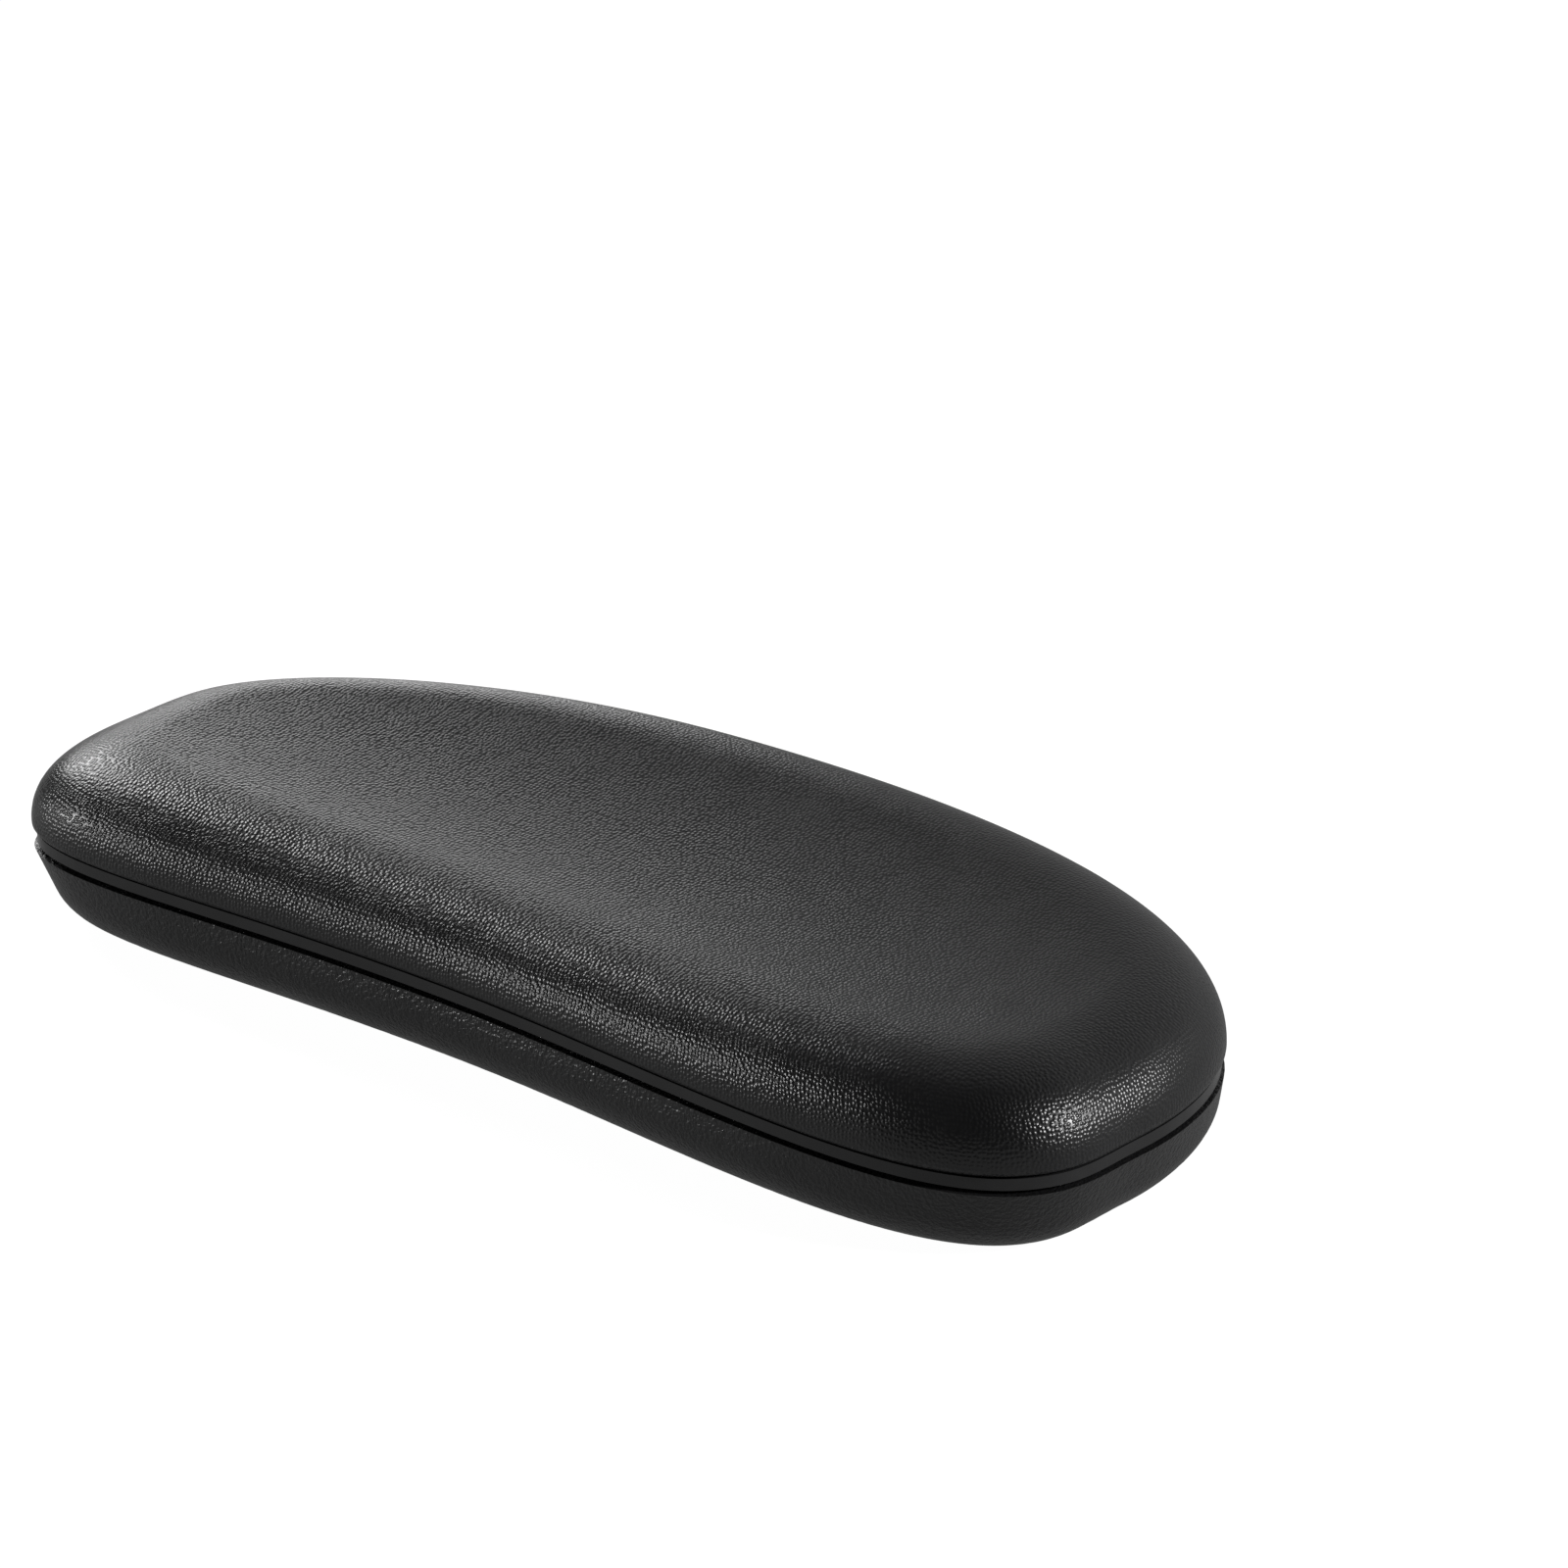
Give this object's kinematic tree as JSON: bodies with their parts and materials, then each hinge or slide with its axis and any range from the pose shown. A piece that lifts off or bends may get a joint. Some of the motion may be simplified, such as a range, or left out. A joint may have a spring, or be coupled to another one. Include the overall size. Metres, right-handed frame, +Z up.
{
  "type": "chair armrest pad",
  "caption": "Black kidney-shaped armrest pad with a grained soft cushion on a rigid carrier, closed below by a screwed base shell with threaded inserts.",
  "frame": {"origin": "underside, at the centre of the bounding box", "axes": "+X along the pad to its wider front end, +Y to the side that bows outwards, +Z up"},
  "size_m": [0.2611, 0.1078, 0.0396],
  "materials": {
    "cushion_skin": "satin",
    "foam": "matte",
    "carrier_plastic": "gloss",
    "base_plastic": "satin",
    "insert_brass": "satin",
    "screw_steel": "satin"
  },
  "bodies": {
    "root": {"cushion_skin": "cushion_skin", "foam_core": "foam", "carrier_plate": "carrier_plastic", "base_shell": "base_plastic", "threaded_insert_1": "insert_brass", "threaded_insert_2": "insert_brass", "threaded_insert_3": "insert_brass", "threaded_insert_4": "insert_brass", "tray_screw_1": "screw_steel", "tray_screw_2": "screw_steel", "tray_screw_3": "screw_steel", "tray_screw_4": "screw_steel", "tray_screw_5": "screw_steel", "tray_screw_6": "screw_steel"}
  },
  "joints": []
}
